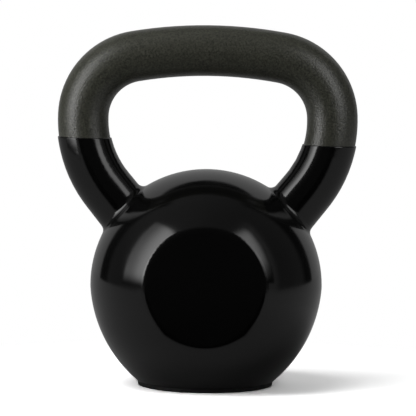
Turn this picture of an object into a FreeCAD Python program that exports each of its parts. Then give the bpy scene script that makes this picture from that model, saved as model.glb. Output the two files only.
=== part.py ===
# Kettlebell: a solid iron casting with a textured coat on its handle, a dipped vinyl jacket
# over the horns and the ball, and a rubber pad under the base.
#
# Frame: origin at the middle of the base, on the floor. +Z is up, the handle lies along X in
# the XZ plane, and the two flat round faces of the ball look along -Y and +Y. Millimetres.
#
# The casting, the coat and the jacket start from one form, grown by the thickness of the skin.
import FreeCAD, Part
import Sketcher
import math
import os

Vector = FreeCAD.Vector
Constraint = Sketcher.Constraint
TOUCH = 0.01  # how near a point has to be to count as on a surface

DIMS = {
    # ball: an upper arc, a short arc at the belt and a slacker lower arc
    "ball_radius": 78.2,
    "ball_height": 68.8,
    "belt_radius": 32.0,
    "belt_angle": 4.8,
    "lower_radius": 91.8,
    # flat round faces, front and back, leaning back a little, with a soft rim
    "face_distance": 67.1,
    "face_tilt": 2.7,
    "face_cut_radius": 60.0,
    "face_cut_depth": 20.0,
    "face_rim_radius": 7.0,
    # handle, as one bent bar: top bow, shoulder, side and horn, each side of the middle
    "handle_height": 229.1,
    "bar_radius": 17.0,
    "root_bar_radius": 18.0,
    "bow_radius": 291.0,
    "bow_angle": 9.9,
    "shoulder_radius": 42.3,
    "shoulder_angle": 87.6,
    "side_radius": 76.4,
    "side_angle": 105.0,
    "horn_angle": 129.0,
    "horn_run": 40.0,
    "root_fillet": 6.1,
    # skins
    "coat_thickness": 0.3,
    "jacket_thickness": 1.1,
    "jacket_lip": 0.7,
    "dip_height": 167.5,
    "dip_tilt": 1.3,
    "dip_cut_radius": 200.0,
    "dip_cut_depth": 200.0,
    # pad
    "pad_thickness": 3.0,
    "pad_radius": 46.2,
    "pad_edge": 0.6,
}


def make_sheet(doc):
    sheet = doc.addObject("Spreadsheet::Sheet", "dims")
    for row, (name, value) in enumerate(DIMS.items(), start=1):
        sheet.set(f"A{row}", name)
        sheet.set(f"B{row}", str(value))
        sheet.setAlias(f"B{row}", name)
    doc.recompute()


def origin_plane(body, role):
    return next(f for f in body.Origin.OriginFeatures if f.Role == role)


def plane_sketch(body, role, name):
    sketch = body.newObject("Sketcher::SketchObject", name)
    sketch.AttachmentSupport = [(origin_plane(body, role), "")]
    sketch.MapMode = "FlatFace"
    return sketch


def drive(sketch, name, formula, *args):
    # a named constraint whose value follows the sheet
    index = sketch.addConstraint(Constraint(*args))
    sketch.renameConstraint(index, name)
    sketch.setExpression(f"Constraints.{name}", formula)


def arc(center, radius, start, end):
    # anticlockwise, with angles in radians from the sketch's +x
    ring = Part.Circle(Vector(center[0], center[1], 0), Vector(0, 0, 1), radius)
    return Part.ArcOfCircle(ring, start, end)


def line(start, end):
    return Part.LineSegment(Vector(start[0], start[1], 0), Vector(end[0], end[1], 0))


def ball_sketch(body, grow, shrink):
    # half profile in the YZ plane: base line, lower arc, belt arc, upper arc, axis
    d = DIMS
    sketch = plane_sketch(body, "YZ_Plane", "ball_profile")
    tilt = math.radians(d["belt_angle"])
    belt = (d["ball_radius"] - d["belt_radius"], d["ball_height"])
    joint = (belt[0] + d["belt_radius"] * math.cos(tilt), belt[1] - d["belt_radius"] * math.sin(tilt))
    lower = (joint[0] - d["lower_radius"] * math.cos(tilt), joint[1] + d["lower_radius"] * math.sin(tilt))
    base = d["pad_thickness"]
    reach = math.asin((lower[1] - base) / d["lower_radius"])
    corner = (lower[0] + d["lower_radius"] * math.cos(reach), base)
    crown = (0, d["ball_height"] + d["ball_radius"])
    sketch.addGeometry([
        line((0, base), corner),
        arc(lower, d["lower_radius"], -reach, -tilt),
        arc(belt, d["belt_radius"], -tilt, 0),
        arc((0, d["ball_height"]), d["ball_radius"], 0, math.pi / 2),
        line(crown, (0, base)),
    ])
    joins = [("Coincident", 0, 2, 1, 1), ("Tangent", 1, 2, 2, 1), ("Tangent", 2, 2, 3, 1),
             ("Coincident", 3, 2, 4, 1), ("Coincident", 4, 2, 0, 1), ("Horizontal", 0),
             ("PointOnObject", 4, 1, -2), ("PointOnObject", 4, 2, -2), ("PointOnObject", 3, 3, -2),
             ("Horizontal", 2, 3, 3, 3)]
    for join in joins:
        sketch.addConstraint(Constraint(*join))
    drive(sketch, "height", "dims.ball_height", "DistanceY", -1, 1, 3, 3, d["ball_height"])
    drive(sketch, "upper", f"dims.ball_radius{grow}", "Radius", 3, d["ball_radius"])
    drive(sketch, "belt", f"dims.belt_radius{grow}", "Radius", 2, d["belt_radius"])
    drive(sketch, "lower", f"dims.lower_radius{grow}", "Radius", 1, d["lower_radius"])
    drive(sketch, "drop", f"(dims.belt_radius{grow}) * sin(dims.belt_angle * 1 deg)",
          "DistanceY", 2, 1, 2, 3, d["belt_radius"] * math.sin(tilt))
    drive(sketch, "base", f"dims.pad_thickness + dims.jacket_thickness{shrink}",
          "DistanceY", -1, 1, 4, 2, base)
    return sketch


def add_ball(body, grow, shrink):
    turned = body.newObject("PartDesign::Revolution", "ball")
    turned.Profile = ball_sketch(body, grow, shrink)
    turned.ReferenceAxis = (turned.Profile[0], ["V_Axis"])
    turned.Angle = 360.0
    return turned


def ring_sketch(body, role, name, radius, base, axis, angle):
    # a circle on an origin plane that is moved by formulas and turned about one of its axes
    sketch = plane_sketch(body, role, name)
    sketch.AttachmentOffset = FreeCAD.Placement(Vector(0, 0, 0), FreeCAD.Rotation(axis, 1.0))
    for letter, formula in base.items():
        sketch.setExpression(f"AttachmentOffset.Base.{letter}", formula)
    sketch.setExpression("AttachmentOffset.Rotation.Angle", f"{angle} * 1 deg")
    sketch.addGeometry(Part.Circle(Vector(0, 0, 0), Vector(0, 0, 1), 10.0))
    sketch.addConstraint(Constraint("Coincident", 0, 3, -1, 1))
    drive(sketch, "ring", radius, "Radius", 0, 10.0)
    return sketch


def face_sketch(body, grow):
    # on the front round face, at its distance from the ball's centre along the face's normal
    distance = f"dims.face_distance{grow}"
    base = {"y": f"dims.ball_height + ({distance}) * sin(dims.face_tilt * 1 deg)",
            "z": f"({distance}) * cos(dims.face_tilt * 1 deg)"}
    return ring_sketch(body, "XZ_Plane", "face_ring", "dims.face_cut_radius", base,
                       Vector(1, 0, 0), "-dims.face_tilt")


def add_pocket(body, name, sketch, length, outward):
    pocket = body.newObject("PartDesign::Pocket", name)
    pocket.Profile = sketch
    pocket.Reversed = outward
    pocket.setExpression("Length", length)
    return pocket


def add_mirror(body, name, features, role):
    both = body.newObject("PartDesign::Mirrored", name)
    both.Originals = features
    both.MirrorPlane = (origin_plane(body, role), [""])
    body.Tip = both
    return both


def add_faces(body, grow):
    # the front flat, then the same at the back
    flat = add_pocket(body, "face_flat", face_sketch(body, grow), "dims.face_cut_depth", outward=True)
    add_mirror(body, "faces", [flat], "XZ_Plane")


def limb_sketch(body):
    # centreline of half the handle, from its middle down into the ball
    d = DIMS
    sketch = plane_sketch(body, "XZ_Plane", "limb_path")
    x, z, turned = 0.0, d["handle_height"], 0.0
    shapes = []
    for part in ("bow", "shoulder", "side", "horn"):
        radius = d.get(f"{part}_radius", d["side_radius"])
        turn = math.radians(d[f"{part}_angle"])
        center = (x - radius * math.sin(turned), z - radius * math.cos(turned))
        shapes.append(arc(center, radius, math.pi / 2 - turn, math.pi / 2 - turned))
        x, z = center[0] + radius * math.sin(turn), center[1] + radius * math.cos(turn)
        turned = turn
    run = d["horn_run"]
    shapes.append(line((x, z), (x + run * math.cos(turned), z - run * math.sin(turned))))
    sketch.addGeometry(shapes)
    for first in range(3):
        sketch.addConstraint(Constraint("Tangent", first, 1, first + 1, 2))
    sketch.addConstraint(Constraint("Tangent", 3, 1, 4, 1))
    sketch.addConstraint(Constraint("PointOnObject", 0, 2, -2))
    sketch.addConstraint(Constraint("PointOnObject", 0, 3, -2))
    sketch.addConstraint(Constraint("Equal", 2, 3))
    drive(sketch, "top", "dims.handle_height", "DistanceY", -1, 1, 0, 2, d["handle_height"])
    drive(sketch, "run", "dims.horn_run", "Distance", 4, run)
    for index, part in enumerate(("bow", "shoulder", "side")):
        radius = f"{part}_radius"
        drive(sketch, radius, f"dims.{radius}", "Radius", index, d[radius])
    drive(sketch, "bow_sweep", "dims.bow_angle * 1 deg", "Angle", 0, math.radians(d["bow_angle"]))
    bends = ["bow_angle", "shoulder_angle", "side_angle", "horn_angle"]
    for index, (before, after) in enumerate(zip(bends, bends[1:]), start=1):
        drive(sketch, after, f"(dims.{after} - dims.{before}) * 1 deg", "Angle", index,
              math.radians(d[after] - d[before]))
    return sketch


def path_edges(sketch):
    # edge names from the handle's middle down to the root
    edges = sketch.Shape.Edges
    order = sorted(range(len(edges)), key=lambda i: -edges[i].CenterOfMass.z)
    return [f"Edge{i + 1}" for i in order]


def bar_section(body, path, edge, name, radius):
    # a circle across the path at the lower end of one of its edges
    shape = path.Shape.getElement(edge)
    lower_end = 0.0 if shape.valueAt(shape.FirstParameter).z < shape.valueAt(shape.LastParameter).z else 1.0
    sketch = body.newObject("Sketcher::SketchObject", name)
    sketch.AttachmentSupport = [(path, edge)]
    sketch.MapMode = "NormalToEdge"
    sketch.MapPathParameter = lower_end
    sketch.addGeometry(Part.Circle(Vector(0, 0, 0), Vector(0, 0, 1), 10.0))
    sketch.addConstraint(Constraint("Coincident", 0, 3, -1, 1))
    drive(sketch, "ring", radius, "Radius", 0, 10.0)
    return sketch


def add_limbs(body, grow):
    # a straight-sided bar over the top, a horn that thickens to its root, then both mirrored
    path = limb_sketch(body)
    path.recompute()
    edges = path_edges(path)
    slim = f"dims.bar_radius{grow}"
    horn = body.newObject("PartDesign::AdditivePipe", "horn")
    horn.Profile = bar_section(body, path, edges[2], "horn_top_ring", slim)
    horn.Sections = [(bar_section(body, path, edges[4], "root_ring", f"dims.root_bar_radius{grow}"), [""])]
    horn.Spine = (path, edges[3:])
    horn.Transformation = "Multisection"
    limb = body.newObject("PartDesign::AdditivePipe", "limb")
    limb.Profile = bar_section(body, path, edges[2], "limb_end_ring", slim)
    limb.Spine = (path, edges[:3])
    return add_mirror(body, "limbs", [horn, limb], "YZ_Plane")


def add_fillet(body, base, name, edges, radius):
    # rounds the edges of the base feature that pass the test
    doc = body.Document
    doc.recompute()
    fillet = body.newObject("PartDesign::Fillet", name)
    names = [f"Edge{i}" for i, edge in enumerate(base.Shape.Edges, start=1) if edges(edge)]
    fillet.Base = (base, names)
    fillet.setExpression("Radius", radius)
    doc.recompute()
    return fillet


def grown(name, skin):
    return DIMS[name] + (DIMS[skin] if skin else 0.0)


def points_on(edge):
    if edge.Degenerated:
        return [Vector(0, 0, 0)]
    return edge.discretize(Number=7)


def is_root_edge(skin):
    # where a horn enters the ball: on the ball's sphere, in line with the handle
    centre = Vector(0, 0, DIMS["ball_height"])
    radius = grown("ball_radius", skin)
    bar = DIMS["bar_radius"]

    def test(edge):
        return all(abs((p - centre).Length - radius) < TOUCH and abs(p.x) > bar > abs(p.y) / 2
                   for p in points_on(edge))
    return test


def is_face_edge(skin):
    # on the plane of either flat round face
    lean = math.radians(DIMS["face_tilt"])
    normal = Vector(0, math.cos(lean), math.sin(lean))
    distance = grown("face_distance", skin)

    def test(edge):
        arms = [Vector(p.x, abs(p.y), p.z - DIMS["ball_height"]) for p in points_on(edge)]
        return all(abs(arm.dot(normal) - distance) < TOUCH for arm in arms)
    return test


def build_form(doc, name, skin=None):
    # the whole bell, grown by a skin
    body = doc.addObject("PartDesign::Body", name)
    grow = f" + dims.{skin}" if skin else ""
    shrink = f" - dims.{skin}" if skin else ""
    add_ball(body, grow, shrink)
    add_faces(body, grow)
    limbs = add_limbs(body, grow)
    roots = add_fillet(body, limbs, "root_fillet", is_root_edge(skin), f"dims.root_fillet{shrink}")
    add_fillet(body, roots, "face_rim", is_face_edge(skin), f"dims.face_rim_radius{grow}")
    return body


def cut_at_dip(body, above):
    # takes away everything above the slanted dip line, or everything below it
    ring = ring_sketch(body, "XY_Plane", "dip_ring", "dims.dip_cut_radius",
                       {"z": "dims.dip_height"}, Vector(0, 1, 0), "dims.dip_tilt")
    return add_pocket(body, "dip_cut", ring, "dims.dip_cut_depth", outward=above)


def is_dip_edge(edge):
    lean = math.radians(DIMS["dip_tilt"])
    normal = Vector(math.sin(lean), 0, math.cos(lean))
    middle = Vector(0, 0, DIMS["dip_height"])
    return all(abs((p - middle).dot(normal)) < TOUCH for p in points_on(edge))


def cut_casting(doc, name, form, casting):
    skin = doc.addObject("Part::Cut", name)
    skin.Base = form
    skin.Tool = casting
    skin.Label = name
    return skin


def make_casting(doc):
    casting = build_form(doc, "iron_casting")
    casting.Label = "iron_casting"
    return casting


def make_coat(doc, casting):
    form = build_form(doc, "coat_form", "coat_thickness")
    cut_at_dip(form, above=False)
    return cut_casting(doc, "handle_texture_coat", form, casting)


def make_jacket(doc, casting):
    form = build_form(doc, "jacket_form", "jacket_thickness")
    trimmed = cut_at_dip(form, above=True)
    add_fillet(form, trimmed, "lip", is_dip_edge, "dims.jacket_lip")
    return cut_casting(doc, "vinyl_jacket", form, casting)


def make_pad(doc):
    body = doc.addObject("PartDesign::Body", "base_pad")
    body.Label = "base_pad"
    ring = plane_sketch(body, "XY_Plane", "pad_ring")
    ring.addGeometry(Part.Circle(Vector(0, 0, 0), Vector(0, 0, 1), DIMS["pad_radius"]))
    ring.addConstraint(Constraint("Coincident", 0, 3, -1, 1))
    drive(ring, "ring", "dims.pad_radius", "Radius", 0, DIMS["pad_radius"])
    disc = body.newObject("PartDesign::Pad", "disc")
    disc.Profile = ring
    disc.setExpression("Length", "dims.pad_thickness")
    add_fillet(body, disc, "foot_edge", lambda edge: points_on(edge)[0].z < TOUCH, "dims.pad_edge")
    return body


def check(doc, pieces):
    for item in doc.Objects:
        if "Invalid" in item.State or "Error" in item.State:
            raise RuntimeError(f"{item.Name} failed: {item.State}")
    for piece in pieces:
        if piece.Shape.isNull() or not piece.Shape.isValid():
            raise RuntimeError(f"{piece.Label} has no sound shape")


def main():
    doc = FreeCAD.newDocument("kettlebell")
    make_sheet(doc)
    casting = make_casting(doc)
    pieces = [casting, make_coat(doc, casting), make_jacket(doc, casting), make_pad(doc)]
    doc.recompute()
    check(doc, pieces)
    os.makedirs("parts", exist_ok=True)
    for piece in pieces:
        shape = piece.Shape
        shape.exportStep(f"parts/{piece.Label}.step")
        print(f"{piece.Label}: {len(shape.Solids)} solid, {shape.Volume / 1000:.1f} cm3")


main()
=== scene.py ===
import bpy
from math import cos, radians, sin
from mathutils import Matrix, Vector

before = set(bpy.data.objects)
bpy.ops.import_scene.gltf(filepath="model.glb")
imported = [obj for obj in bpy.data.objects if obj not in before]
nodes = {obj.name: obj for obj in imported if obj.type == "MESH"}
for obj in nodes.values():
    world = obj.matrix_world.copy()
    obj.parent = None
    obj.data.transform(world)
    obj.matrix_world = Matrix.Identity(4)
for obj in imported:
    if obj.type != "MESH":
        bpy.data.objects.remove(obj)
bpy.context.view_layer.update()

scene = bpy.context.scene
print("frame loaded:", ", ".join(sorted(nodes)))


def linear(hexColor):
    # sRGB hex to the linear colour that the shaders work in
    channels = [int(hexColor[i:i + 2], 16) / 255 for i in (1, 3, 5)]
    return tuple(c / 12.92 if c <= 0.04045 else ((c + 0.055) / 1.055) ** 2.4 for c in channels) + (1.0,)


def addNode(tree, kind, settings=None, **links):
    # a node, its settings, then its inputs (by name, or i and a number) as sockets or plain values
    node = tree.nodes.new(kind)
    for name, value in (settings or {}).items():
        setattr(node, name, value)
    for name, value in links.items():
        key = int(name[1:]) if name[0] == "i" and name[1:].isdigit() else name.replace("_", " ")
        if isinstance(value, bpy.types.NodeSocket):
            tree.links.new(value, node.inputs[key])
        else:
            node.inputs[key].default_value = value
    return node


bumpDepth = 0.001  # metres that a bump map's full height stands for


def newMaterial(name):
    material = bpy.data.materials.new(name)
    material.use_nodes = True
    material.node_tree.nodes.clear()
    return material, material.node_tree


def finishMaterial(tree, shader):
    output = tree.nodes.new("ShaderNodeOutputMaterial")
    tree.links.new(shader.outputs[0], output.inputs["Surface"])


def dress(piece, material):
    piece.data.materials.clear()
    piece.data.materials.append(material)
    print("material:", piece.name, "<-", material.name)


# dipped vinyl: plastisol baked to a wet-looking skin, black right through
vinyl = {"colour": "#080808", "gloss": 0.10, "dull": 0.15, "ior": 1.54,
         "peelMm": 9.0, "peelHeight": 0.02, "bloomMm": 28.0, "bloomBand": (0.35, 0.65)}


def dippedVinyl(spec):
    material, tree = newMaterial("dippedVinyl")
    place = addNode(tree, "ShaderNodeTexCoord")
    # the skin levels out while it bakes, which leaves a faint slow ripple in its gloss
    peel = addNode(tree, "ShaderNodeTexNoise", Vector=place.outputs["Object"],
                   Scale=1000 / spec["peelMm"], Detail=1.0)
    ripple = addNode(tree, "ShaderNodeBump", Height=peel.outputs[0], Strength=spec["peelHeight"],
                     Distance=bumpDepth)
    # plasticiser blooms unevenly, so the gloss is a touch softer in broad patches
    bloom = addNode(tree, "ShaderNodeTexNoise", Vector=place.outputs["Object"],
                    Scale=1000 / spec["bloomMm"], Detail=2.0)
    haze = addNode(tree, "ShaderNodeMapRange", Value=bloom.outputs[0], From_Min=spec["bloomBand"][0],
                   From_Max=spec["bloomBand"][1], To_Min=spec["gloss"], To_Max=spec["dull"])
    shader = addNode(tree, "ShaderNodeBsdfPrincipled", Base_Color=linear(spec["colour"]),
                     Roughness=haze.outputs[0], IOR=spec["ior"], Normal=ripple.outputs[0])
    finishMaterial(tree, shader)
    return material


# textured powder coat: the powder gels before it levels, so it stays pebbled and takes chalk
coat = {"colour": "#4d4e44", "paintedValleyShade": "#23231f", "roughness": 0.29, "ior": 1.6, "grainMm": 1.3,
        "grainHeight": 0.3, "valleyShadeBand": (0.3, 0.7)}


def texturedPowderCoat(spec):
    material, tree = newMaterial("texturedPowderCoat")
    place = addNode(tree, "ShaderNodeTexCoord")
    # pebbles of about a millimetre: pale crowns, and painted shade that darkens the colour down into
    # the valleys
    grain = addNode(tree, "ShaderNodeTexNoise", Vector=place.outputs["Object"],
                    Scale=1000 / spec["grainMm"], Detail=3.0, Roughness=0.6)
    valleyShadeMask = addNode(tree, "ShaderNodeMapRange", Value=grain.outputs[0],
                    From_Min=spec["valleyShadeBand"][0], From_Max=spec["valleyShadeBand"][1])
    # painted shade: where the grain is low the colour mixes towards the darker valley colour
    colour = addNode(tree, "ShaderNodeMix", {"data_type": "RGBA"}, i0=valleyShadeMask.outputs[0],
                     i6=linear(spec["paintedValleyShade"]), i7=linear(spec["colour"]))
    pebbles = addNode(tree, "ShaderNodeBump", Height=grain.outputs[0], Strength=spec["grainHeight"],
                      Distance=bumpDepth)
    shader = addNode(tree, "ShaderNodeBsdfPrincipled", Base_Color=colour.outputs[2],
                     Roughness=spec["roughness"], IOR=spec["ior"], Normal=pebbles.outputs[0])
    finishMaterial(tree, shader)
    return material


# moulded rubber: flat black, with the fine matt skin of a sand-blasted mould
rubber = {"colour": "#161616", "roughness": 0.75, "ior": 1.52, "grainMm": 0.6, "grainHeight": 0.2}


def mouldedRubber(spec):
    material, tree = newMaterial("mouldedRubber")
    place = addNode(tree, "ShaderNodeTexCoord")
    grain = addNode(tree, "ShaderNodeTexNoise", Vector=place.outputs["Object"],
                    Scale=1000 / spec["grainMm"], Detail=2.0)
    skin = addNode(tree, "ShaderNodeBump", Height=grain.outputs[0], Strength=spec["grainHeight"],
                   Distance=bumpDepth)
    shader = addNode(tree, "ShaderNodeBsdfPrincipled", Base_Color=linear(spec["colour"]),
                     Roughness=spec["roughness"], IOR=spec["ior"], Normal=skin.outputs[0])
    finishMaterial(tree, shader)
    return material


# grey iron as cast: dull dark grey, rough from the sand of its mould
iron = {"metal": "#6a6763", "scale": "#3b3836", "roughness": 0.62, "sandMm": 0.8, "sandHeight": 0.5}


def castIron(spec):
    material, tree = newMaterial("castIron")
    place = addNode(tree, "ShaderNodeTexCoord")
    sand = addNode(tree, "ShaderNodeTexNoise", Vector=place.outputs["Object"],
                   Scale=1000 / spec["sandMm"], Detail=4.0)
    colour = addNode(tree, "ShaderNodeMix", {"data_type": "RGBA"}, i0=sand.outputs[0],
                     i6=linear(spec["scale"]), i7=linear(spec["metal"]))
    pits = addNode(tree, "ShaderNodeBump", Height=sand.outputs[0], Strength=spec["sandHeight"],
                   Distance=bumpDepth)
    shader = addNode(tree, "ShaderNodeBsdfPrincipled", Base_Color=colour.outputs[2], Metallic=1.0,
                     Roughness=spec["roughness"], Normal=pits.outputs[0])
    finishMaterial(tree, shader)
    return material


dress(nodes["iron_casting"], castIron(iron))
dress(nodes["vinyl_jacket"], dippedVinyl(vinyl))
dress(nodes["handle_texture_coat"], texturedPowderCoat(coat))
dress(nodes["base_pad"], mouldedRubber(rubber))

# floor: a pale table top, burnt out to white away from the bell. What the gloss sees of it glows far
# off with painted light, and in front it is painted black, a painted dark patch that only the gloss and
# bounced light see
floorSpec = {"size": 4.0, "albedo": 0.36, "seenAlbedo": 3.1, "whiteFrom": 0.09, "whiteTo": 0.26,
             "farGlow": 0.27, "paintedDarkFrom": 0.13, "paintedDarkBlur": 0.02, "paintedDarkHalfAngle": 29,
             "paintedDarkAngleBlur": 5}


def tableTop(spec):
    material, tree = newMaterial("tableTop")
    place = addNode(tree, "ShaderNodeTexCoord")
    path = addNode(tree, "ShaderNodeLightPath")
    axes = addNode(tree, "ShaderNodeSeparateXYZ", Vector=place.outputs["Object"])
    x, y = axes.outputs[:2]
    soft = {"interpolation_type": "SMOOTHSTEP"}
    reach = addNode(tree, "ShaderNodeVectorMath", {"operation": "LENGTH"}, i0=place.outputs["Object"])
    side = addNode(tree, "ShaderNodeMath", {"operation": "ABSOLUTE"}, i0=x)
    front = addNode(tree, "ShaderNodeMath", {"operation": "MULTIPLY"}, i0=y, i1=-1.0)
    turn = addNode(tree, "ShaderNodeMath", {"operation": "ARCTAN2"}, i0=side.outputs[0],
                   i1=front.outputs[0])
    beside = addNode(tree, "ShaderNodeMapRange", soft, Value=turn.outputs[0],
                     From_Min=radians(spec["paintedDarkHalfAngle"] - spec["paintedDarkAngleBlur"]),
                     From_Max=radians(spec["paintedDarkHalfAngle"] + spec["paintedDarkAngleBlur"]))
    near = addNode(tree, "ShaderNodeMapRange", soft, Value=reach.outputs["Value"],
                   From_Min=spec["paintedDarkFrom"] - spec["paintedDarkBlur"],
                   From_Max=spec["paintedDarkFrom"] + spec["paintedDarkBlur"], To_Min=1.0, To_Max=0.0)
    # painted dark patch: in a wedge in front, past a short reach from the bell, everything but the
    # camera sees the floor black, which the gloss mirrors as a dark reflection
    outsidePaintedDark = addNode(tree, "ShaderNodeMath", {"operation": "MAXIMUM"}, i0=beside.outputs[0],
                   i1=near.outputs[0])
    bounced = addNode(tree, "ShaderNodeMath", {"operation": "MULTIPLY"}, i0=outsidePaintedDark.outputs[0],
                      i1=spec["albedo"])
    shade = addNode(tree, "ShaderNodeMix", {"data_type": "FLOAT"}, i0=path.outputs["Is Camera Ray"],
                    i2=bounced.outputs[0], i3=spec["seenAlbedo"])
    paper = addNode(tree, "ShaderNodeBsdfDiffuse", Color=shade.outputs[0])
    # painted glow: far off, the floor emits light for the gloss and for bounced light, standing in for
    # light falling on it; the camera sees it burnt out to white
    far = addNode(tree, "ShaderNodeMapRange", soft, Value=reach.outputs["Value"],
                  From_Min=spec["whiteFrom"], From_Max=spec["whiteTo"])
    paleGlow = addNode(tree, "ShaderNodeMath", {"operation": "MULTIPLY"}, i0=outsidePaintedDark.outputs[0],
                       i1=spec["farGlow"])
    glow = addNode(tree, "ShaderNodeMix", {"data_type": "FLOAT"}, i0=path.outputs["Is Camera Ray"],
                   i2=paleGlow.outputs[0], i3=1.0)
    white = addNode(tree, "ShaderNodeEmission", Strength=glow.outputs[0])
    surface = addNode(tree, "ShaderNodeMixShader", i0=far.outputs[0], i1=paper.outputs[0],
                      i2=white.outputs[0])
    finishMaterial(tree, surface)
    return material


def flatPanel(name, halfWidth, halfHeight, material):
    # a rectangle of scenery in its own XY plane
    mesh = bpy.data.meshes.new(name)
    mesh.from_pydata([(-halfWidth, -halfHeight, 0), (halfWidth, -halfHeight, 0),
                      (halfWidth, halfHeight, 0), (-halfWidth, halfHeight, 0)], [], [(0, 1, 2, 3)])
    mesh.materials.append(material)
    panel = bpy.data.objects.new(name, mesh)
    scene.collection.objects.link(panel)
    print("scenery:", name)
    return panel


flatPanel("floor", floorSpec["size"] / 2, floorSpec["size"] / 2, tableTop(floorSpec))

# studio round the bell: turn is degrees off the front, minus to the left, and rise is degrees up.
# Its cloth fades from left to right across crossFade, and from low to high over lowTo to highFrom,
# all three as parts of a sphere's radius
studio = {"seen": 1.0, "tentLeft": 0.14, "tentRight": 0.09, "tentLow": 0.08, "crossFade": 0.5,
          "lowTo": 0.3, "highFrom": 0.85}
# each patch is painted over those above it, glowing evenly from low to high
patches = {
    "frontFlag": {"sides": "both", "turn": (-200, 40), "rise": (-95, 48), "low": 0.02, "high": 0.02,
                  "soft": 30},
    "rearFlag": {"sides": "both", "turn": (115, 200), "rise": (-95, 62), "low": 0.012, "high": 0.012,
                 "soft": 8},
    "backdrop": {"sides": "both", "turn": (131, 200), "rise": (-95, 47.5), "low": 0.3, "high": 0.46,
                 "soft": 3},
    "spill": {"sides": "right", "turn": (62, 76), "rise": (-95, 56), "low": 0.2, "high": 0.3,
              "soft": 10},
}


def buildWorld(spec):
    world = bpy.data.worlds.new("studio")
    scene.world = world
    world.use_nodes = True
    tree = world.node_tree
    tree.nodes.clear()
    place = addNode(tree, "ShaderNodeTexCoord")
    axes = addNode(tree, "ShaderNodeSeparateXYZ", Vector=place.outputs["Generated"])
    x, y, z = axes.outputs
    front = addNode(tree, "ShaderNodeMath", {"operation": "MULTIPLY"}, i0=y, i1=-1.0)
    signed = addNode(tree, "ShaderNodeMath", {"operation": "ARCTAN2"}, i0=x, i1=front.outputs[0])
    angle = addNode(tree, "ShaderNodeMath", {"operation": "ABSOLUTE"}, i0=signed.outputs[0])
    rise = addNode(tree, "ShaderNodeMath", {"operation": "ARCSINE"}, i0=z)
    turns = {"both": angle.outputs[0], "right": signed.outputs[0]}
    soft = {"interpolation_type": "SMOOTHSTEP"}
    tent = addNode(tree, "ShaderNodeMapRange", soft, Value=x, From_Min=-spec["crossFade"],
                   From_Max=spec["crossFade"], To_Min=spec["tentLeft"], To_Max=spec["tentRight"])
    high = addNode(tree, "ShaderNodeMapRange", soft, Value=z, From_Min=spec["lowTo"],
                   From_Max=spec["highFrom"])
    cloth = addNode(tree, "ShaderNodeMix", {"data_type": "FLOAT"}, i0=high.outputs[0],
                    i2=spec["tentLow"], i3=tent.outputs[0])
    glow = cloth.outputs[0]
    for patch in patches.values():
        cover = 1.0
        half = radians(patch["soft"]) / 2
        for socket, (start, end) in ((turns[patch["sides"]], patch["turn"]),
                                     (rise.outputs[0], patch["rise"])):
            for limit, before, after in ((start, 0.0, 1.0), (end, 1.0, 0.0)):
                edge = addNode(tree, "ShaderNodeMapRange", soft, Value=socket,
                               From_Min=radians(limit) - half, From_Max=radians(limit) + half,
                               To_Min=before, To_Max=after)
                inside = addNode(tree, "ShaderNodeMath", {"operation": "MULTIPLY"}, i0=edge.outputs[0],
                                 i1=cover)
                cover = inside.outputs[0]
        shine = addNode(tree, "ShaderNodeMapRange", Value=rise.outputs[0], From_Min=0.0,
                        From_Max=radians(patch["rise"][1]), To_Min=patch["low"], To_Max=patch["high"])
        painted = addNode(tree, "ShaderNodeMix", {"data_type": "FLOAT"}, i0=cover, i2=glow,
                          i3=shine.outputs[0])
        glow = painted.outputs[0]
    path = addNode(tree, "ShaderNodeLightPath")
    strength = addNode(tree, "ShaderNodeMix", {"data_type": "FLOAT"}, i0=path.outputs["Is Camera Ray"],
                       i2=glow, i3=spec["seen"])
    background = addNode(tree, "ShaderNodeBackground", Color=(1, 1, 1, 1), Strength=strength.outputs[0])
    output = tree.nodes.new("ShaderNodeOutputWorld")
    tree.links.new(background.outputs[0], output.inputs["Surface"])
    print("world lit")


buildWorld(studio)

# softboxes: upright panels close to the bell. The inner edge is the one towards the camera, and
# fade and endFade are the shares of a panel's width and height that darken towards its edges
softboxes = {
    "keySoftbox": {"turn": -63.5, "distance": 0.4, "width": 0.295, "bottom": 0.076, "top": 0.63,
                   "outerGlow": 1.3, "innerGlow": 5.4, "topGlow": 0.55, "fade": 0.08, "endFade": 0.13},
    "fillSoftbox": {"turn": 48.5, "distance": 0.42, "width": 0.265, "bottom": 0.1, "top": 0.68,
                    "outerGlow": 2.3, "innerGlow": 2.3, "topGlow": 0.85, "fade": 0.3, "endFade": 0.3},
}


lampEdge = 0.17  # share of the cloth at each side that the lamps behind it light evenly


def diffuserCloth(name, spec):
    # ripstop diffuser cloth, brighter where the lamp behind it is nearer
    material, tree = newMaterial(name)
    place = addNode(tree, "ShaderNodeTexCoord")
    axes = addNode(tree, "ShaderNodeSeparateXYZ", Vector=place.outputs["Generated"])
    soft = {"interpolation_type": "SMOOTHSTEP"}
    ends = ("outerGlow", "innerGlow") if spec["turn"] < 0 else ("innerGlow", "outerGlow")
    glow = addNode(tree, "ShaderNodeMapRange", soft, Value=axes.outputs[0], From_Min=lampEdge,
                   From_Max=1.0 - lampEdge, To_Min=spec[ends[0]], To_Max=spec[ends[1]]).outputs[0]
    fall = addNode(tree, "ShaderNodeMapRange", Value=axes.outputs[1], To_Min=1.0,
                   To_Max=spec["topGlow"])
    factors = [fall]
    for socket, fade in ((axes.outputs[0], spec["fade"]), (axes.outputs[1], spec["endFade"])):
        for start, end in ((0.0, fade), (1.0, 1.0 - fade)):
            factors.append(addNode(tree, "ShaderNodeMapRange", soft, Value=socket, From_Min=start,
                                   From_Max=end))
    for factor in factors:
        glow = addNode(tree, "ShaderNodeMath", {"operation": "MULTIPLY"}, i0=factor.outputs[0],
                       i1=glow).outputs[0]
    shader = addNode(tree, "ShaderNodeEmission", Strength=glow)
    finishMaterial(tree, shader)
    return material


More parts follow.
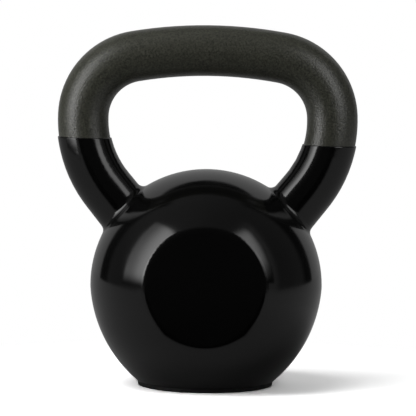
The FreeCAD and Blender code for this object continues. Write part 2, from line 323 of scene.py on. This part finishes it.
def hangSoftbox(name, spec):
    turn = radians(spec["turn"])
    box = flatPanel(name, spec["width"] / 2, (spec["top"] - spec["bottom"]) / 2,
                    diffuserCloth(name, spec))
    box.location = (spec["distance"] * sin(turn), -spec["distance"] * cos(turn),
                    (spec["top"] + spec["bottom"]) / 2)
    box.rotation_euler = (radians(90), 0, turn)
    box.visible_camera = False


for name, spec in softboxes.items():
    hangSoftbox(name, spec)

# top light: only for the coat and the shadow, as its own reflection would show in the gloss
topLight = {"turn": -65, "rise": 69, "distance": 1.0, "size": 0.6, "watts": 3.4}


def hangTopLight(spec):
    data = bpy.data.lights.new("topLight", "AREA")
    data.energy = spec["watts"]
    data.size = spec["size"]
    light = bpy.data.objects.new("topLight", data)
    scene.collection.objects.link(light)
    turn, rise = radians(spec["turn"]), radians(spec["rise"])
    towards = Vector((sin(turn) * cos(rise), -cos(turn) * cos(rise), sin(rise)))
    light.location = spec["distance"] * towards
    light.rotation_euler = towards.to_track_quat("Z", "Y").to_euler()
    light.visible_glossy = False
    light.visible_camera = False
    print("top light hung")


hangTopLight(topLight)

# camera: a long lens a little above the middle of the ball
cameraSpec = {"turn": 0.6, "rise": 5.75, "distance": 2.0, "roll": 0.6, "focalMm": 252.3,
              "orbitHeight": 0.069, "aimSide": 0.0008, "aimHeight": 0.1215, "nearClip": 0.05}


def placeCamera(spec):
    data = bpy.data.cameras.new("camera")
    data.lens = spec["focalMm"]
    data.clip_start = spec["nearClip"]
    camera = bpy.data.objects.new("camera", data)
    scene.collection.objects.link(camera)
    turn, rise = radians(spec["turn"]), radians(spec["rise"])
    towards = Vector((sin(turn) * cos(rise), -cos(turn) * cos(rise), sin(rise)))
    camera.location = Vector((0, 0, spec["orbitHeight"])) + spec["distance"] * towards
    aim = Vector((spec["aimSide"], 0, spec["aimHeight"]))
    camera.rotation_euler = (aim - camera.location).to_track_quat("-Z", "Y").to_euler()
    camera.rotation_euler.rotate_axis("Z", radians(spec["roll"]))
    scene.camera = camera
    print("camera placed")


placeCamera(cameraSpec)
scene.view_settings.view_transform = "Standard"
